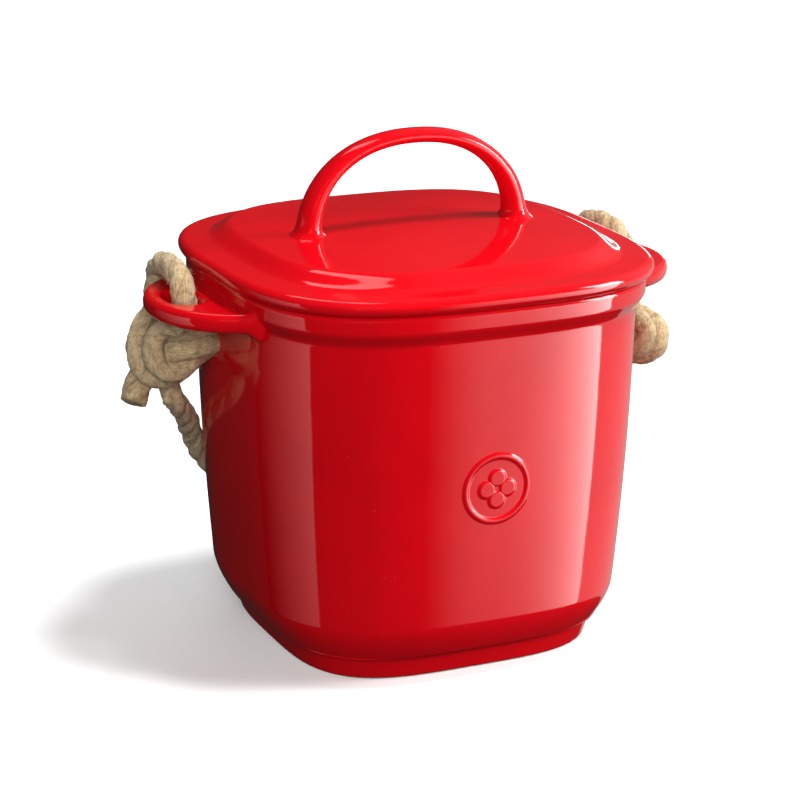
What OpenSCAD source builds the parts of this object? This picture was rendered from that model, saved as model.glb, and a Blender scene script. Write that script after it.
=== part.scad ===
// Glazed ceramic soup tureen: rounded-square pot with a stepped foot, two ear lugs and a
// raised round seal, a lift-off lid with an arched handle, and a rope carrying handle.
// Millimetres, +Z up, origin at the middle of the foot. The lugs lie along X, the seal faces -Y.

/* [Pot] */
// Half-width of the wall just under the rim band
wall_half_w = 98.8; // [95:0.2:100]
// Half-width of the wall just above the belly curve
base_half_w = 92.3; // [90:0.1:94]
// Outward bow of the wall halfway up
wall_bow = 1.4; // [0:0.1:3]
// Wall thickness
wall_t = 6.5; // [5:0.5:8]
// Height of the rim above the table
rim_h = 187.5; // [180:0.5:200]
// How far the rim band stands out from the wall
band_d = 4.2; // [2:0.1:5]
// Squareness of the plan, where 2 is a circle
squareness = 3.2; // [2.6:0.1:4]

/* [Foot] */
// Height of the foot, up to the crease
foot_h = 13; // [10:0.5:16]
// Half-width of the foot at its top
foot_half_w = 81; // [78:0.5:84]
// Height at which the belly curve meets the wall
belly_top = 30; // [24:1:40]
// How far the belly curves in above the crease
belly_d = 5.5; // [3:0.1:7]

/* [Lugs] */
// Distance from the middle of the pot to the tip of a lug
lug_reach = 137.5; // [132:0.5:142]
// Half-width of a lug where it leaves the wall
lug_half_w = 45; // [42:1:50]
// Thickness of a lug
lug_t = 9; // [8:0.5:10]
// Height of the middle of a lug
lug_z = 176; // [174:0.5:177]
// Width of the rope hole, along X
hole_w = 16; // [14:0.5:18]
// Length of the rope hole, along Y
hole_l = 28; // [24:1:30]

/* [Lid] */
// Half-width of the lid
lid_half_w = 107; // [105:0.5:110]
// Thickness of the lid's rounded edge
bead_t = 8; // [7:0.5:9]
// Half-width of the raised middle of the lid
plateau_half_w = 82; // [78:1:85]
// Rise of the raised middle above the rim of the lid
plateau_rise = 7.2; // [5:0.2:9]
// Thickness of the lid
lid_t = 6.5; // [5:0.5:7.5]
// Depth of the flange that locates the lid in the pot
flange_h = 8; // [6:1:10]

/* [Handle] */
// Half-distance between the middles of the handle's feet
arch_half_w = 55.5; // [50:0.5:60]
// Height of the handle's centre line above its feet
arch_h = 46.5; // [42:0.5:52]

/* [Rope] */
// Diameter of the rope
rope_d = 10.5; // [9:0.5:11]

/* [Hidden] */

glaze = [0.80, 0.05, 0.08];
hemp = [0.76, 0.66, 0.47];

segments = 64;            // points round a rounded-square section
gap = 0.3;                // height of the lid's edge above the rim
foot_squareness = 3.6;
lid_squareness = 3.1;

// Pot
band_z = 171;             // the rim band starts here
band_rise = 9;            // and has its full width this much higher
foot_edge_w = 78.5;       // half-width of the foot just above the table
foot_ring_w = 8;          // width of the ring that the pot stands on
recess_h = 3;             // depth of the recess inside that ring
floor_z = 10;             // top of the pot's floor
inner_r = 16;             // radius between the floor and the wall inside

// Lugs
lug_root = 98;            // centre of the lug's ellipse, inside the wall
hole_x = lug_reach - 17;  // middle of the rope hole
lug_round = [[-0.5, 3.2], [-0.42, 1.4], [-0.25, 0.3], [0, 0]];  // [height / thickness, inset]

// Seal on the front
seal_z = 98;
seal_r = 17.5;
seal_ring = 2.4;          // width of the ring round the seal
seal_relief = 1.3;        // how far it stands out
petal_r = 4.2;            // radius of each of the four petals
petal_at = 5.4;           // their distance from the middle
seal_cut_d = 20;          // the outline is cut this far either side of the wall

// Lid
lid_z = rim_h + gap;      // underside of the lid's edge
bead_top = lid_z + bead_t;
bead_in = 4;              // half-thickness of the rounded edge
flat_w = 94;              // half-width where the slope up to the raised middle starts
flat_rise = 0.8;          // rise of the lid's rim up to that slope
dome_rise = 3.2;          // crown of the raised middle
flange_w = 88.5;          // half-width of the locating flange, loose in the pot's mouth
flange_t = 5;

// Handle
arch_power = 2.2;
arch_steps = 32;
arch_sides = 16;
arch_foot_z = bead_top + plateau_rise;
arch_sink = 4;            // the feet start this far below, and the lid's top trims them

// Rope
rope_sides = 10;
// The span hangs behind the pot from the left knot to the right one, and swings about the line
// between its two ends
span_route = [[-115, 31, 121], [-108, 41, 112], [-100, 54, 102], [-93, 68, 90], [-83, 81, 74],
              [-67, 92, 56], [-44, 98, 42], [-21, 100, 34], [0, 100, 31], [21, 100, 32],
              [44, 98, 39], [68, 92, 52], [86, 81, 66], [99, 68, 78], [109, 55, 89],
              [118, 43, 98], [127, 31, 106]];
// The loops through the lugs' holes: up from the knot through the hole, over the back edge of
// the lug and down behind it into the knot
left_loop = [[-125, 14, 158], [-121, 6, 165], [-119.5, 1, 171], [-119.5, 0, 180], [-119, 5, 188],
             [-118.5, 14, 191.5], [-118, 25, 192], [-117, 37, 190], [-116.5, 46, 184],
             [-116.5, 49, 175], [-118, 45, 166], [-123, 36, 159]];
right_loop = [[136, 5, 151], [128, 0, 160], [121, 0, 169], [119.5, 0, 179], [119, 5, 187],
              [118.5, 14, 190], [118, 25, 190.5], [117.5, 37, 188], [118, 45.5, 182],
              [120, 48, 173], [125, 44, 163], [133, 36, 153]];
knot_r = 13;              // half-thickness of a tied knot
// Each knot as a fat tube from its cut tail to the side that faces the pot: [x, y, z, radius]
left_knot = [[-138, 24, 122, 5], [-136, 26, 130, 5], [-135, 26, 137, 9], [-132, 25, 144, 12],
             [-126, 22, 149, knot_r], [-118, 18, 150, knot_r], [-110, 15, 151, 11],
             [-103, 13, 153, 8]];
right_knot = [[122, 9, 112, 5], [131, 12, 115, 5], [139, 15, 119, 9], [143, 19, 125, 12],
              [140, 16, 132, knot_r], [132, 12, 134, knot_r], [125, 10, 136, 11],
              [119, 9, 137, 8]];

function spow(v, e) = sign(v) * pow(abs(v), e);

// A rounded-square ring of half-width a at height z
function ring(a, n, z) = [for (i = [0 : segments - 1])
    let (t = 360 * i / segments)
    [a * spow(cos(t), 2 / n), a * spow(sin(t), 2 / n), z]];

// Half-width of the pot's outside at height z, above the crease
function wall_w(z) =
    let (s = (z - belly_top) / (band_z - belly_top))
    base_half_w + (wall_half_w - base_half_w) * s + 4 * wall_bow * s * (1 - s);
function smooth(t) = let (u = min(1, max(0, t))) u * u * (3 - 2 * u);
function outer_w(z) = wall_w(z)
    - belly_d * pow(max(0, (belly_top - z) / (belly_top - foot_h)), 1.7)
    + band_d * smooth((z - band_z) / band_rise);

// Height of the lid's top at half-width a
function lid_top(a) = a >= flat_w
    ? bead_top + flat_rise * (lid_half_w - bead_in - a) / (lid_half_w - bead_in - flat_w)
    : a > plateau_half_w
        ? bead_top + flat_rise + (plateau_rise - flat_rise)
            * smooth((flat_w - a) / (flat_w - plateau_half_w))
        : bead_top + plateau_rise + dome_rise * (1 - pow(a / plateau_half_w, 2));

function unit(v) = v / norm(v);

// Closed solid through a list of rings with the same number of points, each ring turning
// anticlockwise about the way the list goes
module skin(rings) {
    count = len(rings[0]);
    last = len(rings) - 1;
    polyhedron(
        points = [for (r = rings) each r],
        faces = concat(
            [[for (i = [0 : count - 1]) i]],
            [for (j = [0 : last - 1], i = [0 : count - 1])
                let (k = (i + 1) % count)
                each [[j * count + i, (j + 1) * count + i, (j + 1) * count + k],
                      [j * count + i, (j + 1) * count + k, j * count + k]]],
            [[for (i = [count - 1 : -1 : 0]) last * count + i]]));
}

// The outside of the pot as rows of [half-width, squareness, height], from the crease up
wall_rows = concat(
    [for (k = [0 : 6]) let (z = foot_h + (belly_top - foot_h) * k / 6) [outer_w(z), squareness, z]],
    [for (k = [1 : 7]) let (z = belly_top + (band_z - belly_top) * k / 7) [outer_w(z), squareness, z]],
    [for (k = [1 : 6]) let (z = band_z + band_rise * k / 6) [outer_w(z), squareness, z]],
    [[outer_w(rim_h), squareness, rim_h - 3.5]]);
foot_rows = [[foot_edge_w - 3, foot_squareness, 0], [foot_edge_w - 0.8, foot_squareness, 0.7],
             [foot_edge_w, foot_squareness, 2.5], [foot_half_w, foot_squareness, foot_h - 1.5],
             [foot_half_w + 1, foot_squareness, foot_h - 0.3]];
function reversed(list) = [for (k = [len(list) - 1 : -1 : 0]) list[k]];

module pot_body() color(glaze) {
    rim_w = outer_w(rim_h);
    inner_w = wall_w(rim_h) - wall_t;
    corner_w = wall_w(floor_z + inner_r) - wall_t;
    foot_in = foot_edge_w - 3 - foot_ring_w;
    rows = concat(
        [[30, squareness, floor_z]],
        [for (t = [0 : 15 : 90]) [corner_w - inner_r + inner_r * sin(t), squareness,
                                  floor_z + inner_r * (1 - cos(t))]],
        [for (k = [1 : 6]) let (z = floor_z + inner_r + (rim_h - 4 - floor_z - inner_r) * k / 6)
            [wall_w(z) - wall_t, squareness, z]],
        [[inner_w + 0.4, squareness, rim_h - 1.6], [inner_w + 1.2, squareness, rim_h - 0.5],
         [inner_w + 2.6, squareness, rim_h], [rim_w - 2.6, squareness, rim_h],
         [rim_w - 1, squareness, rim_h - 0.7], [rim_w - 0.2, squareness, rim_h - 2]],
        reversed(wall_rows), reversed(foot_rows),
        [[foot_in, foot_squareness, 0], [foot_in - 1.5, foot_squareness, recess_h],
         [30, foot_squareness, recess_h]]);
    skin([for (r = reversed(rows)) ring(r[0], r[1], r[2])]);
}

// The pot's outside as a plain solid, grown by d, which trims what is luted to it
module pot_outside(d = 0) {
    skin([for (r = wall_rows) ring(r[0] + d, r[1], r[2])]);
}

// Left lug: a flat ear with a rounded edge and an oval rope hole
module lug() color(glaze) {
    levels = concat(lug_round, [for (r = reversed(lug_round)) if (r[0] < 0) [-r[0], r[1]]]);
    difference() {
        skin([for (l = levels) [for (i = [0 : 47])
            let (t = 360 * i / 48)
            [-lug_root - (lug_reach - lug_root - l[1]) * cos(t), -(lug_half_w - l[1]) * sin(t),
             lug_z + lug_t * l[0]]]]);
        pot_outside();
        translate([-hole_x, 0, lug_z - lug_t])
            for (y = [-1, 1])
                translate([0, y * (hole_l - hole_w) / 2, 0])
                    cylinder(d = hole_w, h = 2 * lug_t, $fn = 48);
        translate([-hole_x - hole_w / 2, -(hole_l - hole_w) / 2, lug_z - lug_t])
            cube([hole_w, hole_l - hole_w, 2 * lug_t]);
    }
}
module left_lug() lug();
module right_lug() mirror([1, 0, 0]) lug();

// Raised seal: a ring with a four-petal flower, its face following the wall
module front_seal() color(glaze)
    intersection() {
        difference() {
            pot_outside(seal_relief);
            pot_outside();
        }
        translate([0, -base_half_w + seal_cut_d, seal_z]) rotate([90, 0, 0])
            linear_extrude(2 * seal_cut_d) {
                difference() {
                    circle(r = seal_r, $fn = 64);
                    circle(r = seal_r - seal_ring, $fn = 64);
                }
                for (t = [0 : 90 : 270])
                    rotate(t) translate([petal_at, 0]) circle(r = petal_r, $fn = 32);
            }
    }

module lid_solid() {
    top = concat(
        [for (t = [-70 : 20 : 90])
            [lid_half_w - bead_in + bead_in * cos(t), lid_z + bead_t / 2 * (1 + sin(t))]],
        [for (a = [99, flat_w, 91, 88, 85, plateau_half_w, 70, 50, 30, 10]) [a, lid_top(a)]]);
    under = [[20, lid_top(20) - lid_t], [55, lid_top(55) - lid_t], [76, lid_top(76) - lid_t],
             [flange_w - flange_t - 1.5, lid_z + 3], [flange_w - flange_t, lid_z],
             [flange_w - flange_t + 0.6, lid_z - flange_h + 1], [flange_w - 4, lid_z - flange_h],
             [flange_w - 1.2, lid_z - flange_h], [flange_w, lid_z - flange_h + 1.5],
             [flange_w, lid_z], [lid_half_w - bead_in, lid_z]];
    skin([for (p = concat(under, top)) ring(p[0], lid_squareness, p[1])]);
}
module lid_plate() color(glaze) lid_solid();

// Centre line of the handle at angle t, how far up it is, and its half-thicknesses there
function arch_at(t) = [-arch_half_w * spow(cos(t), 2 / arch_power), 0,
                       arch_foot_z + arch_h * pow(sin(t), 2 / arch_power)];
function arch_up(t) = (arch_at(t)[2] - arch_foot_z) / arch_h;
function arch_thick(t) = 3.7 + 2.2 * (1 - arch_up(t)) + 2.6 * exp(-arch_up(t) / 0.05);
function arch_wide(t) = 6.4 + 1.6 * (1 - arch_up(t)) + 2.2 * exp(-arch_up(t) / 0.05);
function arch_side(t) =
    let (along = unit(arch_at(min(180, t + 0.5)) - arch_at(max(0, t - 0.5))))
    t == 0 ? [-1, 0, 0] : t == 180 ? [1, 0, 0] : [-along[2], 0, along[0]];
function arch_section(c, t) = [for (i = [0 : arch_sides - 1])
    let (p = 360 * i / arch_sides)
    c + arch_side(t) * arch_thick(t) * cos(p) - [0, 1, 0] * arch_wide(t) * sin(p)];

// Arched strap handle, swelling into its two feet
module lid_handle() color(glaze)
    difference() {
        skin(concat(
            [arch_section(arch_at(0) - [0, 0, arch_sink], 0)],
            [for (k = [0 : arch_steps])
                let (t = 180 * k / arch_steps) arch_section(arch_at(t), t)],
            [arch_section(arch_at(180) - [0, 0, arch_sink], 180)]));
        lid_solid();
    }

// A round tube through a list of [x, y, z] or [x, y, z, radius]; lean is any direction that the
// route never takes
module tube(route, lean) {
    last = len(route) - 1;
    function at(k) = [route[k][0], route[k][1], route[k][2]];
    function r(k) = len(route[k]) > 3 ? route[k][3] : rope_d / 2;
    skin([for (k = [0 : last])
        let (along = unit(at(min(last, k + 1)) - at(max(0, k - 1))),
             u = unit(cross(along, lean)), v = cross(along, u))
        [for (i = [0 : rope_sides - 1])
            let (p = 360 * i / rope_sides)
            at(k) + r(k) * (u * cos(p) + v * sin(p))]]);
}

module rope_left_loop() color(hemp) tube(left_loop, [1, 0, 0]);
module rope_right_loop() color(hemp) tube(right_loop, [1, 0, 0]);
// A knot is the bulk that the wound strands fill, with the loop's own strands taken out of it
module rope_left_knot() color(hemp)
    difference() {
        tube(left_knot, [0, 0, 1]);
        tube(left_loop, [1, 0, 0]);
    }
module rope_right_knot() color(hemp)
    difference() {
        tube(right_knot, [0, 0, 1]);
        tube(right_loop, [1, 0, 0]);
    }
module rope_span() color(hemp) tube(span_route, [0, 0.6, 0.8]);

pot_body();
left_lug();
right_lug();
front_seal();
lid_plate();
lid_handle();
rope_left_loop();
rope_right_loop();
rope_left_knot();
rope_right_knot();
rope_span();
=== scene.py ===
"""Glazed ceramic soup tureen with a lift-off lid and a knotted rope carrying handle.

Lengths are in millimetres in the formulas and become metres when a mesh is made.
"""

import math

import bmesh
import bpy
import numpy as np
from mathutils import Matrix, Vector


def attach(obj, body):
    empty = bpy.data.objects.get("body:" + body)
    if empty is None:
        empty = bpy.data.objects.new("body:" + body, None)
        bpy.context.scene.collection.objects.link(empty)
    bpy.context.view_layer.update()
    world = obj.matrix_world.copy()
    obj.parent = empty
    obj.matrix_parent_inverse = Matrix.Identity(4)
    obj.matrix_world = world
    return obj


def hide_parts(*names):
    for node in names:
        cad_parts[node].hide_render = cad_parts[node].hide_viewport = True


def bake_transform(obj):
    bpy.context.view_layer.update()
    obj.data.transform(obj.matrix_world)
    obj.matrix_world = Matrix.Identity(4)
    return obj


MM = 0.001
RANDOM_SEED = 7
rng = np.random.default_rng(RANDOM_SEED)

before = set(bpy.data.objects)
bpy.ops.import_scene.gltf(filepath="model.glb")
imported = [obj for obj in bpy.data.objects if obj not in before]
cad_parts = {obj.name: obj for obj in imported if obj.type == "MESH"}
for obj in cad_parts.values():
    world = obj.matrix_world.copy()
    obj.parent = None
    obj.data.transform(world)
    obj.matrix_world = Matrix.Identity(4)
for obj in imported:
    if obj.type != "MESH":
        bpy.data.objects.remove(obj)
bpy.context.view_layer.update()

# ---------------------------------------------------------------- camera

CAMERA_AZIMUTH = -24.87
CAMERA_ELEVATION = 16.76
CAMERA_ROLL = 0.49
CAMERA_DISTANCE = 1.3
CAMERA_TARGET = Vector((0, 0, 0.12))
CAMERA_LENS = 116.7
CAMERA_SHIFT = (-0.0141, -0.0131)


def view_axes(azimuth, elevation, roll=0.0):
    """The camera's right, up and back directions."""
    a, e, r = math.radians(azimuth), math.radians(elevation), math.radians(roll)
    back = Vector((math.sin(a) * math.cos(e), -math.cos(a) * math.cos(e), math.sin(e)))
    right = Vector((math.cos(a), math.sin(a), 0))
    up = back.cross(right)
    return (
        right * math.cos(r) + up * math.sin(r),
        up * math.cos(r) - right * math.sin(r),
        back,
    )


def make_camera():
    right, up, back = view_axes(CAMERA_AZIMUTH, CAMERA_ELEVATION, CAMERA_ROLL)
    data = bpy.data.cameras.new("camera")
    data.lens = CAMERA_LENS
    data.sensor_width = 36
    data.shift_x, data.shift_y = CAMERA_SHIFT
    data.clip_end = 100
    camera = bpy.data.objects.new("camera", data)
    turn = Matrix((right, up, back)).transposed().to_4x4()
    camera.matrix_world = (
        Matrix.Translation(CAMERA_TARGET + back * CAMERA_DISTANCE) @ turn
    )
    bpy.context.scene.collection.objects.link(camera)
    bpy.context.scene.camera = camera


make_camera()

# ---------------------------------------------------------------- helpers


def spow(v, e):
    return np.sign(v) * np.abs(v) ** e


def smooth(t):
    u = np.clip(t, 0, 1)
    return u * u * (3 - 2 * u)


def unit(v):
    return v / np.linalg.norm(v)


def ring(a, n, z, count):
    """A rounded square of half-width a, from a circle at n = 2 to squarer."""
    t = np.arange(count) * 2 * math.pi / count
    return np.stack(
        [a * spow(np.cos(t), 2 / n), a * spow(np.sin(t), 2 / n), np.full(count, z)],
        axis=1,
    )


def even_ring(a, n, z, count):
    """The same, with its points spread evenly along it."""
    dense = ring(a, n, z, count * 8)
    closed = np.vstack([dense, dense[:1]])
    run = np.concatenate(
        [[0], np.cumsum(np.linalg.norm(np.diff(closed, axis=0), axis=1))]
    )
    want = np.arange(count) * run[-1] / count
    return np.stack([np.interp(want, run, closed[:, i]) for i in range(3)], axis=1)


def make_mesh(name, points, faces, material, corner_uv=None):
    """A smooth-shaded object from points in millimetres, with a map point for each face corner."""
    mesh = bpy.data.meshes.new(name)
    mesh.from_pydata((np.asarray(points) * MM).tolist(), [], faces)
    if corner_uv is not None:
        layer = mesh.uv_layers.new(name="UVMap")
        layer.data.foreach_set("uv", np.asarray(corner_uv, np.float32).ravel())
    mesh.validate()
    mesh.shade_smooth()
    mesh.materials.append(material)
    obj = bpy.data.objects.new(name, mesh)
    bpy.context.scene.collection.objects.link(obj)
    return obj


def skin_faces(rows, count):
    """Quads between rows of count points each, and a cap at both ends."""
    faces = []
    for j in range(rows - 1):
        for i in range(count):
            k = (i + 1) % count
            faces.append((j * count + i, j * count + k, (j + 1) * count + k, (j + 1) * count + i))
    faces.append(tuple(range(count - 1, -1, -1)))
    faces.append(tuple((rows - 1) * count + i for i in range(count)))
    return faces


def set_attribute(obj, name, values):
    """Gives each point of an object a number that its material reads."""
    layer = obj.data.attributes.new(name, "FLOAT", "POINT")
    layer.data.foreach_set("value", np.asarray(values, np.float32))


def face_outwards(obj):
    bm = bmesh.new()
    bm.from_mesh(obj.data)
    bmesh.ops.recalc_face_normals(bm, faces=bm.faces)
    bm.to_mesh(obj.data)
    bm.free()
    return obj


def through(points, step):
    """A smooth curve through the points, resampled every step millimetres."""
    p = np.asarray(points, float)
    p = np.vstack([2 * p[0] - p[1], p, 2 * p[-1] - p[-2]])
    out = []
    for k in range(1, len(p) - 2):
        a, b, c, d = p[k - 1 : k + 3]
        ta = 0
        tb = ta + np.linalg.norm(b - a) ** 0.5
        tc = tb + np.linalg.norm(c - b) ** 0.5
        td = tc + np.linalg.norm(d - c) ** 0.5
        for t in np.linspace(tb, tc, 24, endpoint=False):
            u = a + (b - a) * (t - ta) / (tb - ta)
            v = b + (c - b) * (t - tb) / (tc - tb)
            w = c + (d - c) * (t - tc) / (td - tc)
            x = u + (v - u) * (t - ta) / (tc - ta)
            y = v + (w - v) * (t - tb) / (td - tb)
            out.append(x + (y - x) * (t - tb) / (tc - tb))
    out.append(p[-2])
    out = np.array(out)
    run = np.concatenate([[0], np.cumsum(np.linalg.norm(np.diff(out, axis=0), axis=1))])
    count = max(2, int(round(run[-1] / step)) + 1)
    want = np.linspace(0, run[-1], count)
    return np.stack([np.interp(want, run, out[:, i]) for i in range(out.shape[1])], axis=1)


def carried_axes(path):
    """Tangents along a path, and two side directions carried along it without twisting."""
    tangent = np.gradient(path, axis=0)
    tangent /= np.linalg.norm(tangent, axis=1)[:, None]
    side = np.zeros_like(path)
    start = np.array([0.0, 0.0, 1.0])
    if abs(tangent[0] @ start) > 0.9:
        start = np.array([1.0, 0.0, 0.0])
    side[0] = unit(start - tangent[0] * (start @ tangent[0]))
    for i in range(1, len(path)):
        s = side[i - 1] - tangent[i] * (side[i - 1] @ tangent[i])
        side[i] = unit(s)
    return tangent, side, np.cross(tangent, side)


# ---------------------------------------------------------------- materials


def new_material(name):
    material = bpy.data.materials.new(name)
    material.use_nodes = True
    tree = material.node_tree
    tree.nodes.clear()
    out = tree.nodes.new("ShaderNodeOutputMaterial")
    shader = tree.nodes.new("ShaderNodeBsdfPrincipled")
    tree.links.new(shader.outputs["BSDF"], out.inputs["Surface"])
    return material, tree, shader


def node(tree, kind, **values):
    n = tree.nodes.new(kind)
    for key, value in values.items():
        if key in n.inputs.keys():
            n.inputs[key].default_value = value
        else:
            setattr(n, key, value)
    return n


def ramp(tree, source, stops):
    n = tree.nodes.new("ShaderNodeValToRGB")
    elements = n.color_ramp.elements
    while len(elements) < len(stops):
        elements.new(0.5)
    for element, (at, colour) in zip(elements, stops):
        element.position = at
        element.color = (*colour, 1)
    tree.links.new(source, n.inputs["Fac"])
    return n


def object_point(tree):
    return tree.nodes.new("ShaderNodeTexCoord").outputs["Object"]


GLAZE_DEEP = (0.58, 0.0018, 0.0060)
GLAZE_MID = (0.67, 0.0024, 0.0075)
GLAZE_LIGHT = (0.73, 0.0032, 0.0095)


def glaze_material():
    """Deep red glaze: slight clouding, faint pin speckles, a skin that is never quite flat."""
    material, tree, shader = new_material("red_glaze")
    where = object_point(tree)
    cloud = node(tree, "ShaderNodeTexNoise", Scale=9.0, Detail=3.0, Roughness=0.55)
    tree.links.new(where, cloud.inputs["Vector"])
    tint = ramp(
        tree,
        cloud.outputs["Fac"],
        [(0.30, GLAZE_DEEP), (0.52, GLAZE_MID), (0.75, GLAZE_LIGHT)],
    )
    speck = node(tree, "ShaderNodeTexVoronoi", Scale=260.0, Randomness=1.0)
    tree.links.new(where, speck.inputs["Vector"])
    dots = ramp(
        tree, speck.outputs["Distance"], [(0.03, (1, 1, 1)), (0.09, (0, 0, 0))]
    )
    rare = node(tree, "ShaderNodeTexNoise", Scale=95.0, Detail=1.0)
    tree.links.new(where, rare.inputs["Vector"])
    few = ramp(tree, rare.outputs["Fac"], [(0.60, (0, 0, 0)), (0.68, (1, 1, 1))])
    both = node(tree, "ShaderNodeMath", operation="MULTIPLY")
    tree.links.new(dots.outputs["Color"], both.inputs[0])
    tree.links.new(few.outputs["Color"], both.inputs[1])
    mix = node(tree, "ShaderNodeMix", data_type="RGBA")
    tree.links.new(both.outputs[0], mix.inputs["Factor"])
    tree.links.new(tint.outputs["Color"], mix.inputs[6])
    mix.inputs[7].default_value = (0.80, 0.09, 0.08, 1)
    tree.links.new(mix.outputs[2], shader.inputs["Base Color"])

    wavy = node(tree, "ShaderNodeTexNoise", Scale=26.0, Detail=2.0, Roughness=0.5)
    tree.links.new(where, wavy.inputs["Vector"])
    fine = node(tree, "ShaderNodeTexNoise", Scale=420.0, Detail=1.0, Roughness=0.5)
    tree.links.new(where, fine.inputs["Vector"])
    soft = node(tree, "ShaderNodeBump", Strength=0.035, Distance=0.004)
    tree.links.new(wavy.outputs["Fac"], soft.inputs["Height"])
    peel = node(tree, "ShaderNodeBump", Strength=0.012, Distance=0.0006)
    tree.links.new(fine.outputs["Fac"], peel.inputs["Height"])
    tree.links.new(soft.outputs["Normal"], peel.inputs["Normal"])
    tree.links.new(peel.outputs["Normal"], shader.inputs["Normal"])

    rough = ramp(
        tree,
        cloud.outputs["Fac"],
        [(0.3, (0.055, 0.055, 0.055)), (0.8, (0.095, 0.095, 0.095))],
    )
    tree.links.new(rough.outputs["Color"], shader.inputs["Roughness"])
    shader.inputs["IOR"].default_value = 1.52
    return material


def clay_material():
    """Bare fired clay where the pot stands."""
    material, tree, shader = new_material("bare_clay")
    where = object_point(tree)
    grain = node(tree, "ShaderNodeTexNoise", Scale=300.0, Detail=6.0, Roughness=0.7)
    tree.links.new(where, grain.inputs["Vector"])
    tint = ramp(
        tree,
        grain.outputs["Fac"],
        [(0.3, (0.50, 0.36, 0.25)), (0.55, (0.66, 0.50, 0.37)), (0.8, (0.76, 0.62, 0.48))],
    )
    tree.links.new(tint.outputs["Color"], shader.inputs["Base Color"])
    bump = node(tree, "ShaderNodeBump", Strength=0.4, Distance=0.0004)
    tree.links.new(grain.outputs["Fac"], bump.inputs["Height"])
    tree.links.new(bump.outputs["Normal"], shader.inputs["Normal"])
    shader.inputs["Roughness"].default_value = 0.85
    return material


ROPE_DARK = (0.15, 0.09, 0.04)
ROPE_MID = (0.63, 0.455, 0.24)
ROPE_LIGHT = (0.92, 0.72, 0.44)


def rope_material():
    """Twisted bast fibre, with painted shade in the grooves between its strands. The first map
    coordinate runs along the rope, the second round it.
    """
    material, tree, shader = new_material("rope_fibre")
    uv = tree.nodes.new("ShaderNodeUVMap")
    uv.uv_map = "UVMap"
    groove = tree.nodes.new("ShaderNodeAttribute")
    groove.attribute_name = "groove"
    where = object_point(tree)

    stretch = node(tree, "ShaderNodeMapping")
    stretch.inputs["Scale"].default_value = (2.2, 30.0, 1.0)
    tree.links.new(uv.outputs["UV"], stretch.inputs["Vector"])
    fibres = node(tree, "ShaderNodeTexNoise", Scale=1.0, Detail=6.0, Roughness=0.72)
    tree.links.new(stretch.outputs["Vector"], fibres.inputs["Vector"])
    patch = node(tree, "ShaderNodeTexNoise", Scale=330.0, Detail=5.0, Roughness=0.72)
    tree.links.new(where, patch.inputs["Vector"])

    tint = ramp(
        tree,
        fibres.outputs["Fac"],
        [(0.36, ROPE_DARK), (0.46, ROPE_MID), (0.58, ROPE_LIGHT), (0.8, (0.98, 0.82, 0.56))],
    )
    blotch = ramp(
        tree, patch.outputs["Fac"], [(0.36, (0.46, 0.38, 0.27)), (0.56, (1, 1, 1))]
    )
    shade = node(tree, "ShaderNodeMix", data_type="RGBA", blend_type="MULTIPLY")
    shade.inputs["Factor"].default_value = 0.75
    tree.links.new(tint.outputs["Color"], shade.inputs[6])
    tree.links.new(blotch.outputs["Color"], shade.inputs[7])
    # Painted shade: the colour darkens where a point lies deep in the groove between two strands,
    # less in the knots
    deep = ramp(
        tree,
        groove.outputs["Fac"],
        [(0.0, (1, 1, 1)), (0.6, (0.93, 0.90, 0.85)), (1.0, (0.60, 0.52, 0.40))],
    )
    dark = node(tree, "ShaderNodeMix", data_type="RGBA", blend_type="MULTIPLY")
    dark.inputs["Factor"].default_value = 1.0
    tree.links.new(shade.outputs[2], dark.inputs[6])
    tree.links.new(deep.outputs["Color"], dark.inputs[7])
    tree.links.new(dark.outputs[2], shader.inputs["Base Color"])

    bump = node(tree, "ShaderNodeBump", Strength=0.9, Distance=0.0009)
    tree.links.new(fibres.outputs["Fac"], bump.inputs["Height"])
    tree.links.new(bump.outputs["Normal"], shader.inputs["Normal"])
    shader.inputs["Roughness"].default_value = 0.92
    shader.inputs["Specular IOR Level"].default_value = 0.2
    shader.inputs["Sheen Weight"].default_value = 0.25
    shader.inputs["Sheen Roughness"].default_value = 0.5
    return material


def fuzz_material():
    """Loose fibres standing off the rope."""
    material, tree, shader = new_material("rope_fuzz")
    where = object_point(tree)
    patch = node(tree, "ShaderNodeTexNoise", Scale=400.0, Detail=2.0)
    tree.links.new(where, patch.inputs["Vector"])
    tint = ramp(
        tree, patch.outputs["Fac"], [(0.35, ROPE_MID), (0.65, (0.84, 0.73, 0.54))]
    )
    tree.links.new(tint.outputs["Color"], shader.inputs["Base Color"])
    shader.inputs["Roughness"].default_value = 0.9
    return material


glaze = glaze_material()
clay = clay_material()
fibre = rope_material()
loose_fibre = fuzz_material()

# ---------------------------------------------------------------- rope

ROPE_D = 10.5
ROPE_LAY = 44.0  # length of one turn of the strands
ROPE_RING = 1.1  # distance between cross-sections
ROPE_SIDES = 36

# The knots are laid out in a plane of their own: across, up and out, from the middle of the knot
LEFT_KNOT = np.array([-118.0, 20.0, 148.0])
RIGHT_KNOT = np.array([131.0, 14.0, 131.0])
KNOT_YAW = -25.0
KNOT_TILT = 17.0
RIGHT_SQUASH = 0.8

# Strand that goes up through the lug's hole: round the inside of the lobe and the top of the nose
INNER_STRAND = [
    (-5, 10.5, 12), (-9.7, 3, 10.5), (-8.5, -5, 10), (-3, -10.5, 7), (5, -8.5, 1.5),
    (11, 2, -3.5), (17, 9.5, -5), (19.3, 12.8, 0), (15.5, 12, 5), (7, 10, 6.5),
    (-1, 8.5, 3), (-8, 5, -2.5),
]
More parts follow.
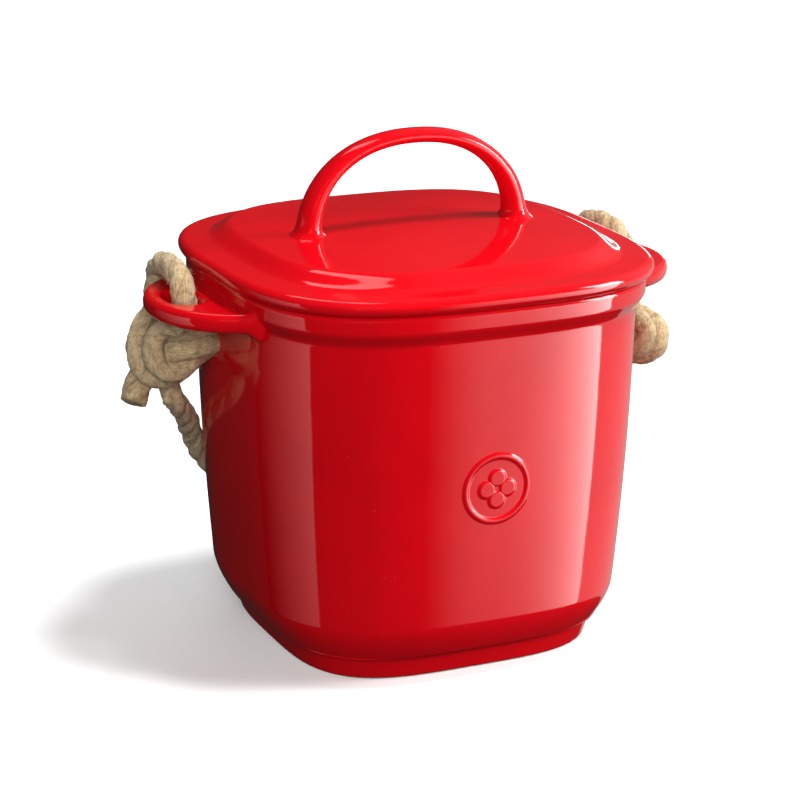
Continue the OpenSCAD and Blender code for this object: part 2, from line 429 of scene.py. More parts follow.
# Strand that comes down behind the lug: round the outside of the lobe and the bottom of the nose
OUTER_STRAND = [
    (-12, 19, -8), (-16.5, 11, 0), (-18.3, 1, 3.5), (-16, -8, 3.5), (-9.5, -13.5, -0.5),
    (-1.5, -12.5, -4.5), (5.5, -6.5, -9), (12.5, 0.5, -10.5), (18.3, 4, -6.5), (19.5, 4, -1),
    (15.5, 3, 4.5), (7, 0.5, 6.5), (-2, -0.5, 3), (-8, -3, -4),
]
LEFT_TAIL = [(-14.5, -2, -8), (-16.2, -10, -8.5), (-18.3, -17.5, -6), (-20.5, -25, -4)]
RIGHT_TAIL = [(2, -3, -9), (-5, -9, -10), (-11, -16, -8), (-15, -24, -5)]
RIGHT_OUTER_START = [(-2, 15, -8), (8, 10.5, -3), (16.5, 3.5, 2.5)]
LEFT_OUT = [(-120.5, 31, 137), (-118, 31, 129)]
RIGHT_OUT = [(133, 25, 117)]

SPAN = [
    (-115, 31, 121), (-108, 41, 112), (-100, 54, 102), (-93, 68, 90), (-83, 81, 74),
    (-67, 92, 56), (-44, 98, 42), (-21, 100, 34), (0, 100, 31), (21, 100, 32),
    (44, 98, 39), (68, 92, 52), (86, 81, 66), (99, 68, 78), (109, 55, 89),
    (118, 43, 98), (127, 31, 106),
]
LEFT_ARCH = [
    (-121.5, 6, 165), (-119.5, 1, 171), (-119.5, 0, 179), (-119, 5, 186),
    (-118.5, 14, 189), (-118, 25, 189.5), (-117, 37, 188), (-116.5, 46, 183),
    (-116.5, 49, 174), (-118, 45, 165),
]
RIGHT_ARCH = [
    (120.5, 3, 158), (120, 0, 168), (119.5, 0, 179), (119, 5, 187), (118.5, 14, 190),
    (118, 25, 190.5), (117.5, 37, 188), (118, 45.5, 182), (119.5, 48, 173), (122, 43, 162),
]


def mirrored(points):
    """The same part of a knot for the other end, mirrored and drawn tighter."""
    return [(-across, up * RIGHT_SQUASH, out) for across, up, out in points]


def knot_points(points, middle):
    """Points of a knot's own plane in the object's frame."""
    right, up, out = (np.array(v) for v in view_axes(KNOT_YAW, KNOT_TILT))
    return np.array([p[0] * right + p[1] * up + p[2] * out for p in points]) + middle


# How full the rope is, against its diameter: squeezed in a knot, spread where it bends over a lug
FULL_KNOT, FULL_ARCH, FULL_SPAN, FULL_TAIL = 1.0, 1.16, 1.08, 1.32
KNOT_GROOVE = 0.3  # how much of the strands' grooves is left in a knot
STRAND_AT, STRAND_R = 0.12, 0.40  # a strand's place and radius, against the rope's diameter
LUMP_SIZE = 0.17
MAP_ALONG, MAP_ROUND, MAP_LEAN = 10.0, 0.8, 14.0


def with_fullness(points, full):
    points = np.asarray(points, float)
    return np.column_stack([points, np.full(len(points), full)])


def end_of_rope(middle, inner, outer, tail, arch, out):
    """From the cut tail through the knot, the lug and the knot again to the start of the span."""
    inner = with_fullness(knot_points(inner, middle), FULL_KNOT)
    outer = with_fullness(knot_points(outer, middle), FULL_KNOT)
    tail = knot_points(tail, middle)
    return np.vstack(
        [
            with_fullness(tail[::-1], FULL_TAIL),
            inner[::-1],
            with_fullness(arch, FULL_ARCH),
            outer,
            with_fullness(out, FULL_KNOT),
        ]
    )


def eased(path, reach=4):
    """Takes the kinks out of a path by averaging each point with its neighbours."""
    weight = np.hanning(2 * reach + 3)[1:-1]
    weight /= weight.sum()
    padded = np.vstack([path[:1]] * reach + [path] + [path[-1:]] * reach)
    out = np.stack(
        [np.convolve(padded[:, i], weight, mode="valid") for i in range(path.shape[1])], axis=1
    )
    out[0], out[-1] = path[0], path[-1]
    return out


left_end = end_of_rope(
    LEFT_KNOT, INNER_STRAND, OUTER_STRAND, LEFT_TAIL, LEFT_ARCH, LEFT_OUT
)
# The right knot mirrors the left one, but its outer strand comes down nearer to the pot
right_end = end_of_rope(
    RIGHT_KNOT,
    mirrored(INNER_STRAND),
    RIGHT_OUTER_START + mirrored(OUTER_STRAND[3:]),
    RIGHT_TAIL,
    RIGHT_ARCH,
    RIGHT_OUT,
)
rope_line = eased(
    through(
        np.vstack([left_end, with_fullness(SPAN, FULL_SPAN), right_end[::-1]]), ROPE_RING
    )
)
rope_path, rope_full = rope_line[:, :3], rope_line[:, 3]


def rope_section(phase):
    """Three round strands laid together: distance from the centre to their outside, and how deep
    a point lies in the groove between two of them, from 0 to 1, which also sets the painted shade
    there."""
    offset, radius = STRAND_AT * ROPE_D, STRAND_R * ROPE_D
    half_strand = math.pi / 3
    angle = (phase + half_strand) % (2 * half_strand) - half_strand
    across = offset * np.sin(angle)
    reach = offset * np.cos(angle) + np.sqrt(np.maximum(radius**2 - across**2, 0))
    deep = np.clip(np.abs(angle) / half_strand, 0, 1) ** 3
    return reach * (ROPE_D / 2) / (offset + radius), deep


def surface_lumps(count):
    """Small unevenness of the fibres, in millimetres, drawn out along the rope."""
    lumps = rng.normal(size=(count, ROPE_SIDES))
    for _ in range(2):
        lumps = lumps + np.roll(lumps, 1, axis=0) + np.roll(lumps, -1, axis=0)
    lumps = lumps + 0.5 * (np.roll(lumps, 1, axis=1) + np.roll(lumps, -1, axis=1))
    return lumps * LUMP_SIZE / lumps.std()


def fibre_map(faces, along):
    """The map of the rope: along it, and round it with a lean, so that the fibres follow the lay."""
    step = 2 * math.pi / ROPE_SIDES
    corners = []
    for face in faces:
        sides = [index % ROPE_SIDES for index in face]
        # A quad that closes the ring takes the full turn, so the map doesn't run back across it
        closes = len(face) == 4 and max(sides) - min(sides) > 1
        for index in face:
            j, i = divmod(index, ROPE_SIDES)
            turned = ROPE_SIDES if closes and i == 0 else i
            corners.append((along[j] / MAP_ALONG, turned * step * MAP_ROUND + along[j] / MAP_LEAN))
    return corners


def make_rope(path):
    """One tube with the outline of three twisted strands, cut off in a shallow dome at each end."""
    count = len(path)
    tangent, side, other = carried_axes(path)
    run = np.concatenate([[0], np.cumsum(np.linalg.norm(np.diff(path, axis=0), axis=1))])
    around = np.arange(ROPE_SIDES) * 2 * math.pi / ROPE_SIDES
    turn = run / ROPE_LAY * 2 * math.pi
    reach, deep = rope_section(around)
    # A knot pulls its strands together, so their outline and grooves fade there
    loose = np.clip((rope_full - FULL_KNOT) / (FULL_SPAN - FULL_KNOT), KNOT_GROOVE, 1)
    uneven = 1 + 0.02 * np.sin(run / 17.0) + 0.015 * np.sin(run / 6.1 + 1.3)
    lumps = surface_lumps(count)
    points = np.zeros((count, ROPE_SIDES, 3))
    for i in range(count):
        p = around + turn[i]
        wobble = rope_full[i] * uneven[i] * (1 + 0.012 * np.sin(5 * p + run[i] / 3.0))
        r = (reach.mean() + (reach - reach.mean()) * loose[i]) * wobble + lumps[i]
        points[i] = path[i] + np.outer(r * np.cos(p), side[i]) + np.outer(r * np.sin(p), other[i])

    def dome(end, outwards):
        return [
            path[end] + (points[end] - path[end]) * shrink + outwards * tangent[end] * push
            for shrink, push in ((0.82, 0.5), (0.45, 0.8), (0.12, 0.9))
        ]

    rows = [*dome(0, -1)[::-1], *points, *dome(count - 1, 1)]
    along = np.concatenate([[-1.5, -1.0, -0.5], run, run[-1] + np.array([0.5, 1, 1.5])])
    faces = skin_faces(len(rows), ROPE_SIDES)
    rope = make_mesh("carrying_rope", np.vstack(rows), faces, fibre, fibre_map(faces, along))
    # Depth in the grooves, faded in the knots, which the rope's material turns into painted shade
    # between the strands
    depth = np.concatenate([loose[:1]] * 3 + [loose] + [loose[-1:]] * 3)
    set_attribute(rope, "groove", np.outer(depth, deep).ravel())
    return face_outwards(rope)


rope = make_rope(rope_path)

FUZZ_PER_RING, FUZZ_LENGTH, FUZZ_WIDTH, FUZZ_STANDS_OFF = 6.0, (1.0, 4.0), (0.04, 0.09), 1.8


def make_fuzz(path):
    """Thin loose fibres that leave the rope at a low angle and curl."""
    tangent, side, other = carried_axes(path)
    points, faces = [], []
    for _ in range(int(len(path) * FUZZ_PER_RING)):
        i = int(rng.integers(1, len(path) - 1))
        p = rng.uniform(0, 2 * math.pi)
        out = math.cos(p) * side[i] + math.sin(p) * other[i]
        round_ = -math.sin(p) * side[i] + math.cos(p) * other[i]
        start = path[i] + out * ROPE_D * 0.46 * rope_full[i]
        length = rng.uniform(*FUZZ_LENGTH)
        lean = unit(
            tangent[i] * rng.choice([-1, 1]) * rng.uniform(0.4, 1)
            + round_ * rng.uniform(-0.9, 0.9)
            + out * rng.uniform(0.3, 0.7)
        )
        curl = unit(rng.normal(size=3)) * rng.uniform(0.1, 0.7)
        width = rng.uniform(*FUZZ_WIDTH)
        base = len(points)
        for k in range(4):
            s = k / 3
            c = start + lean * length * s + curl * length * s * s * 0.6
            c = c - out * max(0.0, (c - path[i]) @ out - ROPE_D * 0.5 - FUZZ_STANDS_OFF)
            w = width * (1 - 0.7 * s)
            for q in range(3):
                a = q * 2 * math.pi / 3
                points.append(c + out * w * math.cos(a) + round_ * w * math.sin(a))
        for k in range(3):
            for q in range(3):
                a, b = base + 3 * k + q, base + 3 * k + (q + 1) % 3
                faces.append((a, b, b + 3, a + 3))
    return make_mesh("rope_loose_fibres", points, faces, loose_fibre)


fuzz = make_fuzz(rope_path)

# ---------------------------------------------------------------- pot

SEGMENTS = 320
WALL_HALF_W, BASE_HALF_W, WALL_BOW, WALL_T = 98.8, 92.3, 1.4, 6.5
RIM_H, BAND_D, BAND_Z, BAND_RISE = 187.5, 4.2, 171.0, 9.0
SQUARENESS, FOOT_SQUARENESS, LID_SQUARENESS = 3.2, 3.6, 3.1
FOOT_H, FOOT_HALF_W, FOOT_EDGE_W = 13.0, 81.0, 78.5
BELLY_TOP, BELLY_D = 30.0, 5.5
FLOOR_Z, INNER_R, RECESS_H, FOOT_RING_W = 10.0, 16.0, 3.0, 8.0
FOOT_EDGE_R, FOOT_EDGE_H = 3.0, 2.8
# The lip: where it starts below the rim, and how wide and high it rounds inside and outside
LIP_FROM, LIP_IN_W, LIP_IN_H, LIP_OUT_W, LIP_OUT_H = 4.0, 2.6, 3.2, 2.4, 2.8
# The crease: its height, its depth, and the turn in radians that would take the plan to the foot's
CREASE_H, CREASE_IN, CREASE_TURN = 0.6, 2.56, 1.6
MIDDLE_W = 0.5  # half-width of the small face in the middle of a floor


def wall_w(z):
    s = (z - BELLY_TOP) / (BAND_Z - BELLY_TOP)
    return BASE_HALF_W + (WALL_HALF_W - BASE_HALF_W) * s + 4 * WALL_BOW * s * (1 - s)


def outer_w(z):
    return (
        wall_w(z)
        - BELLY_D * np.maximum(0, (BELLY_TOP - z) / (BELLY_TOP - FOOT_H)) ** 1.7
        + BAND_D * smooth((z - BAND_Z) / BAND_RISE)
    )


def pot_rows():
    """The pot's profile in (half-width, squareness, height), from the middle of its floor inside,
    over the rim and down the outside to the middle of the recess under the foot."""
    inner_w = wall_w(RIM_H) - WALL_T
    corner_w = wall_w(FLOOR_Z + INNER_R) - WALL_T
    rim_w = float(outer_w(RIM_H))
    foot_in = FOOT_EDGE_W - FOOT_EDGE_R - FOOT_RING_W
    rows = [(a, SQUARENESS, FLOOR_Z) for a in (MIDDLE_W, 10, 22, 34, 46, 56, 63)]

    def arc(middle_w, middle_z, round_w, round_z, first, last, count):
        """Rows along a quarter of an ellipse, with its angle from the outside up."""
        for t in np.radians(np.linspace(first, last, count)):
            w, z = middle_w + round_w * math.cos(t), middle_z + round_z * math.sin(t)
            rows.append((w, SQUARENESS, z))

    # Inside corner, wall and rounded lip
    arc(corner_w - INNER_R, FLOOR_Z + INNER_R, INNER_R, INNER_R, -90, 0, 22)
    for z in np.linspace(FLOOR_Z + INNER_R, RIM_H - LIP_FROM, 42)[1:]:
        rows.append((wall_w(z) - WALL_T, SQUARENESS, z))
    arc(inner_w + LIP_IN_W, RIM_H - LIP_IN_H, LIP_IN_W, LIP_IN_H, 165, 90, 8)
    rows.append(((inner_w + rim_w) / 2, SQUARENESS, RIM_H))
    arc(rim_w - LIP_OUT_W, RIM_H - LIP_OUT_H, LIP_OUT_W, LIP_OUT_H, 90, 0, 10)

    # Outside: the rim's band, the wall and the belly
    band_top = BAND_Z + BAND_RISE
    heights = [*np.linspace(RIM_H - LIP_FROM, band_top, 4)]
    heights += [*np.linspace(band_top, BAND_Z, 26)[1:], *np.linspace(BAND_Z, BELLY_TOP, 64)[1:]]
    heights += [*np.linspace(BELLY_TOP, FOOT_H + CREASE_H, 30)[1:]]
    rows += [(outer_w(z), SQUARENESS, z) for z in heights]

    # Underside of the belly rolls into the crease above the foot
    crease = float(outer_w(FOOT_H))
    for t in np.radians(np.linspace(10, 80, 6)):
        squareness = SQUARENESS + (FOOT_SQUARENESS - SQUARENESS) * t / CREASE_TURN
        w, z = crease - CREASE_IN * (1 - math.cos(t)), FOOT_H + CREASE_H - 2 * CREASE_H * math.sin(t)
        rows.append((w, squareness, z))

    # Foot, its standing ring and the recess inside that
    profile = [(FOOT_HALF_W + 0.7, FOOT_H - 0.7), (FOOT_HALF_W + 0.1, FOOT_H - 1.4)]
    for z in np.linspace(FOOT_H - 2, FOOT_EDGE_H + 0.6, 12):
        s = (z - 2.5) / (FOOT_H - 4)
        profile.append((FOOT_EDGE_W + (FOOT_HALF_W - FOOT_EDGE_W) * s, z))
    for t in np.radians(np.linspace(0, 90, 8)):
        w = FOOT_EDGE_W - FOOT_EDGE_H * (1 - math.cos(t))
        profile.append((w, FOOT_EDGE_H * (1 - math.sin(t))))
    profile += [(foot_in, 0), (foot_in - 0.7, 0.6)]
    profile += [(foot_in - 1.5, RECESS_H - 0.6), (foot_in - 2.4, RECESS_H)]
    profile += [(a, RECESS_H) for a in (54, 42, 30, 18, 8, MIDDLE_W)]
    return rows + [(a, FOOT_SQUARENESS, z) for a, z in profile]


def revolve(name, rows, material):
    rings = [even_ring(a, n, z, SEGMENTS) for a, n, z in rows]
    return face_outwards(
        make_mesh(name, np.vstack(rings), skin_faces(len(rings), SEGMENTS), material)
    )


pot = revolve("pot_vessel", pot_rows(), glaze)
pot.data.materials.append(clay)
STAND_H, STAND_IN = 1.1 * MM, 30 * MM
for polygon in pot.data.polygons:
    place = polygon.center
    outside = max(abs(place.x), abs(place.y)) > STAND_IN
    if outside and place.z < STAND_H and polygon.normal.z < -0.4:
        polygon.material_index = 1

# ---------------------------------------------------------------- lugs

LUG_REACH, LUG_HALF_W, LUG_T, LUG_Z, LUG_ROOT = 137.5, 45.0, 9.0, 176.0, 98.0
HOLE_W, HOLE_L = 16.0, 28.0
HOLE_X = LUG_REACH - 17
LUG_COUNT, HOLE_ROUND, EDGE_ROUND = 240, 2.6, 3.4
ROOT_FADE, ROOT_SPREAD, ROOT_UNDER, ROOT_OVER = 2.6, 0.06, 4.6, 1.6
INTO_WALL = 2.5  # how far a lug runs on past its root, into the wall


def wall_at(y, z):
    """How far the pot's wall is from the middle, along X, at that y and height."""
    w = outer_w(z)
    return w * np.maximum(1e-3, 1 - (np.abs(y) / w) ** SQUARENESS) ** (1 / SQUARENESS)


def stadium(angle):
    """Distance from the hole's middle to its edge."""
    c, s = abs(math.cos(angle)), abs(math.sin(angle))
    r, half = HOLE_W / 2, (HOLE_L - HOLE_W) / 2
    if c > 1e-9 and r / c * s <= half:
        return r / c
    b = half * s
    return b + math.sqrt(max(0, b * b - half * half + r * r))


def lug_edge(angle):
    """Distance from the hole's middle to the lug's outline, an ellipse about its root, or to a
    line inside the thickness of the pot's wall."""
    c, s = math.cos(angle), math.sin(angle)
    reach, wide = LUG_REACH - LUG_ROOT, LUG_HALF_W
    offset = HOLE_X - LUG_ROOT
    a = (c / reach) ** 2 + (s / wide) ** 2
    b = 2 * offset * c / reach**2
    k = (offset / reach) ** 2 - 1
    outline = (-b + math.sqrt(b * b - 4 * a * k)) / (2 * a)
    return min(outline, (offset + INTO_WALL) / -c) if c < 0 else outline


def make_lug(name, side):
    """A flat ear with a slotted hole, both with rounded edges, that swells where it meets the pot."""
    # Each point of the profile says what it follows, how far across that it is, and its height
    profile = [("hole", 1 - math.cos(t), math.sin(t)) for t in np.radians(np.linspace(-90, 90, 13))]
    profile += [("flat", f, 1) for f in np.linspace(0.08, 0.92, 12)]
    profile += [("edge", math.cos(t), math.sin(t)) for t in np.radians(np.linspace(90, -90, 17))]
    profile += [("flat", f, -1) for f in np.linspace(0.92, 0.08, 12)]
    points = []
    for i in range(LUG_COUNT):
        angle = i * 2 * math.pi / LUG_COUNT
        near, far = stadium(angle), lug_edge(angle)
        for kind, f, h in profile:
            if kind == "hole":
                r = near + HOLE_ROUND * f
            elif kind == "flat":
                r = near + HOLE_ROUND + (far - EDGE_ROUND - near - HOLE_ROUND) * f
            else:
                r = far - EDGE_ROUND + EDGE_ROUND * f
            x, y = HOLE_X + r * math.cos(angle), r * math.sin(angle)
            away = max(0.0, x - wall_at(y, LUG_Z))
            swell = math.exp(-away / ROOT_FADE)
            y *= 1 + ROOT_SPREAD * swell
            thicker = (ROOT_UNDER if h < 0 else ROOT_OVER) * swell * abs(h)
            points.append((side * x, y, LUG_Z + h * (LUG_T / 2 + thicker)))
    rows = len(profile)
    faces = []
    for i in range(LUG_COUNT):
        for j in range(rows):
            a, b = (i + 1) % LUG_COUNT, (j + 1) % rows
            faces.append((i * rows + j, a * rows + j, a * rows + b, i * rows + b))
    return face_outwards(make_mesh(name, points, faces, glaze))


left_lug = make_lug("lug_left", -1)
right_lug = make_lug("lug_right", 1)

# ---------------------------------------------------------------- seal

SEAL_Z, SEAL_R, SEAL_RING, SEAL_RELIEF = 98.0, 17.5, 2.4, 0.65
PETAL_R, PETAL_AT, EYE_R, SEAL_SOFT = 4.2, 5.4, 1.2, 1.9


def seal_height(u, v):
    """Relief of the ring and of a four-petal flower, with the softness of a thick glaze."""
    r = math.hypot(u, v)
    edge = SEAL_SOFT / 2
    ring_part = smooth((SEAL_RING / 2 + edge - abs(r - (SEAL_R - SEAL_RING / 2))) / SEAL_SOFT)
    petals = 0.0
    for px, py in ((PETAL_AT, 0), (-PETAL_AT, 0), (0, PETAL_AT), (0, -PETAL_AT)):
        petal = smooth((PETAL_R + edge - math.hypot(u - px, v - py)) / SEAL_SOFT)
        petals = max(petals, float(petal))
    eye = smooth((r - EYE_R) / 0.9)
    return SEAL_RELIEF * max(float(ring_part), petals * float(eye))


def make_seal():
    """A thin round patch that lies on the wall and sinks into it at its edge."""
    turns, rings, reach = 220, 96, SEAL_R + 1.0
    flat = [(0.0, 0.0)]
    for j in range(1, rings + 1):
        r = reach * j / rings
        for i in range(turns):
            a = 2 * math.pi * i / turns
            flat.append((r * math.cos(a), r * math.sin(a)))
    points = []
    for u, v in flat:
        sunk = 0.12 * smooth((math.hypot(u, v) - SEAL_R - 0.3) / 0.7)
        stands_off = 0.06 + seal_height(u, v) - sunk
        points.append((u, -(float(wall_at(u, SEAL_Z + v)) + stands_off), SEAL_Z + v))
    faces = [(0, 1 + i, 1 + (i + 1) % turns) for i in range(turns)]
    for j in range(rings - 1):
        a, b = 1 + j * turns, 1 + (j + 1) * turns
        for i in range(turns):
            k = (i + 1) % turns
            faces.append((a + i, b + i, b + k, a + k))
    return make_mesh("front_seal_relief", points, faces, glaze)


seal = make_seal()

# ---------------------------------------------------------------- lid

LID_HALF_W, BEAD_T, BEAD_IN = 107.0, 8.0, 4.0
PLATEAU_HALF_W, PLATEAU_RISE, LID_T, FLANGE_H = 82.0, 7.2, 6.5, 8.0
LID_Z = RIM_H + 0.3
BEAD_TOP = LID_Z + BEAD_T
FLAT_W, FLAT_RISE, DOME_RISE = 94.0, 0.8, 3.2
FLANGE_W, FLANGE_T = 88.5, 5.0


def lid_top(a):
    if a >= FLAT_W:
        return BEAD_TOP + FLAT_RISE * (LID_HALF_W - BEAD_IN - a) / (
            LID_HALF_W - BEAD_IN - FLAT_W
        )
    if a > PLATEAU_HALF_W:
        t = (FLAT_W - a) / (FLAT_W - PLATEAU_HALF_W)
        return BEAD_TOP + FLAT_RISE + (PLATEAU_RISE - FLAT_RISE) * float(smooth(t))
    return BEAD_TOP + PLATEAU_RISE + DOME_RISE * (1 - (a / PLATEAU_HALF_W) ** 2)


def lid_rows():
    """The lid's profile, from the middle of its underside round the flange, the bead at its edge
    and the raised middle."""
    flange_in, flange_low = FLANGE_W - FLANGE_T, LID_Z - FLANGE_H
    bead_w = LID_HALF_W - BEAD_IN
    rows = [(a, lid_top(a) - LID_T) for a in (MIDDLE_W, 10, 20, 30, 40, 50, 60, 70, 76)]
    # Inside of the flange, its rounded lower edge, and its outside
    rows += [(79, LID_Z + 6.5), (flange_in - 1.5, LID_Z + 3), (flange_in, LID_Z)]
    rows += [(flange_in + 0.3, flange_low + 2.4), (flange_in + 0.7, flange_low + 0.9)]
    rows += [(FLANGE_W - 3.4, flange_low + 0.1), (FLANGE_W - 2.2, flange_low)]
    rows += [(FLANGE_W - 0.9, flange_low + 0.5), (FLANGE_W - 0.2, flange_low + 1.6)]
    rows += [(FLANGE_W, flange_low + 3), (FLANGE_W, LID_Z - 0.8), (FLANGE_W + 0.3, LID_Z - 0.2)]
    rows += [(FLANGE_W + 1, LID_Z), (bead_w - 2, LID_Z)]
    for t in np.radians(np.linspace(-88, 90, 26)):
        rows.append((bead_w + BEAD_IN * math.cos(t), LID_Z + BEAD_T / 2 * (1 + math.sin(t))))
    top = [101, 99, 97, 95.5, *np.linspace(FLAT_W, PLATEAU_HALF_W, 26)]
    top += [80, 76, 70, 62, 54, 46, 38, 30, 22, 14, 7, MIDDLE_W]
    rows += [(a, lid_top(a)) for a in top]
    return [(a, LID_SQUARENESS, z) for a, z in rows]


lid = revolve("lid_shell", lid_rows(), glaze)

# ---------------------------------------------------------------- handle

ARCH_HALF_W, ARCH_H, ARCH_POWER = 55.5, 46.5, 2.2
ARCH_FOOT_Z = BEAD_TOP + PLATEAU_RISE
INTO_LID = 3.0  # how far the handle's feet run on below the arch, inside the lid
SECTION_POWER = 0.92  # a little squarer than an ellipse


def handle_path(steps):
    """The middle of the handle: a superellipse, evenly stepped, that starts inside the lid."""
    t = np.radians(np.linspace(0, 180, 2001))
    x = -ARCH_HALF_W * spow(np.cos(t), 2 / ARCH_POWER)
    z = ARCH_FOOT_Z + ARCH_H * np.abs(np.sin(t)) ** (2 / ARCH_POWER)
    line = np.stack([x, np.zeros_like(t), z], axis=1)
    run = np.concatenate([[0], np.cumsum(np.linalg.norm(np.diff(line, axis=0), axis=1))])
    want = np.linspace(0, run[-1], steps)
    path = np.stack([np.interp(want, run, line[:, i]) for i in range(3)], axis=1)
    low = path[0] - [0, 0, INTO_LID]
    return np.vstack([[low], path, [[-low[0], 0, low[2]]]])


def make_handle():
    """A strap of rounded section, thicker and wider towards its feet."""
    sides = 48
    path = handle_path(150)
    points = []
    for i, c in enumerate(path):
        a, b = path[max(0, i - 1)], path[min(len(path) - 1, i + 1)]
        along = unit(b - a)
        side = np.array([-along[2], 0, along[0]])
        up = (c[2] - ARCH_FOOT_Z) / ARCH_H
        foot = math.exp(-max(0, up) / 0.05)
        # The clay swells into a small collar where it meets the lid's top
        collar = 1.6 * math.exp(-max(0.0, c[2] - (ARCH_FOOT_Z + 1.6)) / 1.3)
        thick = 3.7 + 2.2 * (1 - up) + 2.6 * foot + collar
        wide = 6.4 + 1.6 * (1 - up) + 2.2 * foot + collar
        for q in range(sides):
            p = 2 * math.pi * q / sides
            across = side * thick * spow(math.cos(p), SECTION_POWER)
            points.append(c + across + np.array([0, 1, 0]) * wide * spow(math.sin(p), SECTION_POWER))
    return face_outwards(
        make_mesh("lid_handle_arch", points, skin_faces(len(path), sides), glaze)
    )


handle = make_handle()

# ---------------------------------------------------------------- what rides on what

for piece in (pot, left_lug, right_lug, seal):
    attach(piece, "pot")
for piece in (lid, handle):
    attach(piece, "lid")
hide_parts("pot_body")
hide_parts("left_lug")
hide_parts("right_lug")
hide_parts("front_seal")
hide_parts("lid_plate")
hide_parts("lid_handle")

for piece in (rope, fuzz):
    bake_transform(piece)
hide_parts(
    "rope_left_loop", "rope_right_loop", "rope_left_knot", "rope_right_knot", "rope_span"
)

# ---------------------------------------------------------------- floor and light

FLOOR_HALF_W = 40000.0


def make_floor():
    material, tree, shader = new_material("floor_white")
    where = object_point(tree)
    faint = node(tree, "ShaderNodeTexNoise", Scale=3.0, Detail=1.0)
    tree.links.new(where, faint.inputs["Vector"])
    tint = ramp(
        tree, faint.outputs["Fac"], [(0.3, (0.93, 0.93, 0.93)), (0.7, (0.95, 0.95, 0.95))]
    )
    tree.links.new(tint.outputs["Color"], shader.inputs["Base Color"])
    shader.inputs["Roughness"].default_value = 0.9
    shader.inputs["Specular IOR Level"].default_value = 0.1
    shader.inputs["Emission Color"].default_value = (1, 1, 1, 1)
    shader.inputs["Emission Strength"].default_value = 0.22
    far = FLOOR_HALF_W
    corners = [(-far, -far, 0), (far, -far, 0), (far, far, 0), (-far, far, 0)]
    ground = make_mesh("floor", corners, [(0, 1, 2, 3)], material)
    # The glaze mirrors the studio's dark surround and cards, not the white sweep it stands on
    ground.visible_glossy = False
    ground.visible_diffuse = False
    return ground


floor = make_floor()


def area_light(name, place, aim_z, size, power, glossy=True):
    """A rectangular light aimed at the object's axis, at the height aim_z."""
    data = bpy.data.lights.new(name, "AREA")
    data.shape = "RECTANGLE"
    data.size, data.size_y = size
    data.energy = power
    light = bpy.data.objects.new(name, data)
    light.location = place
    toward = Vector((0, 0, aim_z)) - Vector(place)
    light.rotation_euler = toward.to_track_quat("-Z", "Y").to_euler()
    light.visible_glossy = glossy
    bpy.context.scene.collection.objects.link(light)


CARD_REACH, CARD_COLUMNS, CARD_FALL = 1000, 24, 1.6


def card_material(name):
    material = bpy.data.materials.new(name)
    material.use_nodes = True
    tree = material.node_tree
    tree.nodes.clear()
    out = tree.nodes.new("ShaderNodeOutputMaterial")
    emit = tree.nodes.new("ShaderNodeEmission")
    strength = tree.nodes.new("ShaderNodeAttribute")
    strength.attribute_name = "glow"
    tree.links.new(strength.outputs["Fac"], emit.inputs["Strength"])
    tree.links.new(emit.outputs["Emission"], out.inputs["Surface"])
    return material


def card(name, azimuths, heights, glows, dim_low=1.0):
    """A curved reflector card round the pot, seen only in the glaze. Its glow runs from one end to
    the other, and falls to dim_low of that at its lower edge. Azimuths are degrees from +X."""
    points, glow = [], []
    for i in range(CARD_COLUMNS + 1):
        f = i / CARD_COLUMNS
        a = math.radians(azimuths[0] + (azimuths[1] - azimuths[0]) * f)
        strength = glows[0] + (glows[1] - glows[0]) * f**CARD_FALL
        for z, dim in zip(heights, (dim_low, 1.0)):
            points.append((CARD_REACH * math.cos(a), CARD_REACH * math.sin(a), z))
            glow.append(strength * dim)
    faces = [(2 * i, 2 * i + 2, 2 * i + 3, 2 * i + 1) for i in range(CARD_COLUMNS)]
    obj = make_mesh(name, points, faces, card_material(name))
    set_attribute(obj, "glow", glow)
    obj.visible_camera = False
    obj.visible_diffuse = False
    obj.visible_shadow = False
    obj.visible_transmission = False


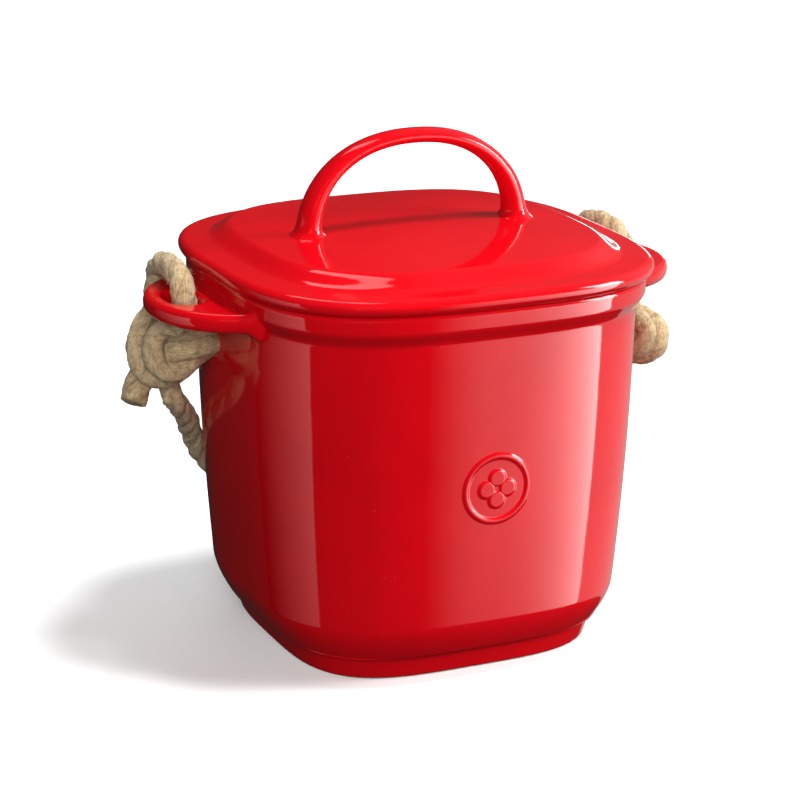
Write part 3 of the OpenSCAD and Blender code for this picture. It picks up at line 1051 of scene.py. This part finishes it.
def make_world():
    """A dark surround that brightens towards the right, so that the glaze has little to mirror."""
    world = bpy.data.worlds.new("studio")
    world.use_nodes = True
    tree = world.node_tree
    background = tree.nodes["Background"]
    direction = tree.nodes.new("ShaderNodeTexCoord").outputs["Generated"]
    toward = node(tree, "ShaderNodeVectorMath", operation="DOT_PRODUCT")
    tree.links.new(direction, toward.inputs[0])
    toward.inputs[1].default_value = BRIGHT_SIDE
    greys = ((0.0, 0.02), (0.5, 0.04), (0.8, 0.22), (1.0, 0.60))
    fall = ramp(tree, toward.outputs["Value"], [(at, (grey,) * 3) for at, grey in greys])
    tree.links.new(fall.outputs["Color"], background.inputs["Color"])
    background.inputs["Strength"].default_value = 1.0
    bpy.context.scene.world = world


def make_sun():
    """A soft high light that throws the shadow to the left. The glaze doesn't mirror it."""
    sun = bpy.data.lights.new("sun", "SUN")
    sun.energy = 2.7
    sun.angle = math.radians(15)
    light = bpy.data.objects.new("sun", sun)
    light.visible_glossy = False
    light.rotation_euler = Vector(SUN_FROM).to_track_quat("Z", "Y").to_euler()
    bpy.context.scene.collection.objects.link(light)


BRIGHT_SIDE = (0.92, 0.05, 0.38)
SUN_FROM = (0.30, -0.13, 0.945)

make_world()
make_sun()
area_light("key_box", (1.2, -0.75, 0.65), 0.1, (0.5, 0.8), 23)
area_light("top_strip", (-0.1, 0.35, 1.3), 0.15, (0.25, 0.9), 2)
area_light("left_fill", (-0.75, -1.45, 0.7), 0.1, (0.9, 0.9), 22, glossy=False)
area_light("back_fill", (0.6, 1.5, 0.8), 0.1, (0.9, 0.9), 4, glossy=False)

# The long highlights down the front, the edge beyond them, the streak on the lid and the left band
card("card_right", (-80, -29), (-560, 330), (0.1, 15.5), dim_low=0.3)
card("card_far_right", (-29, 60), (-560, 200), (1.0, 0.25))
card("card_back", (42, 55), (232, 285), (9.0, 9.0))
card("card_left", (128, 187), (-560, 300), (0.0, 1.6), dim_low=0.4)

bpy.context.scene.view_settings.view_transform = "Standard"
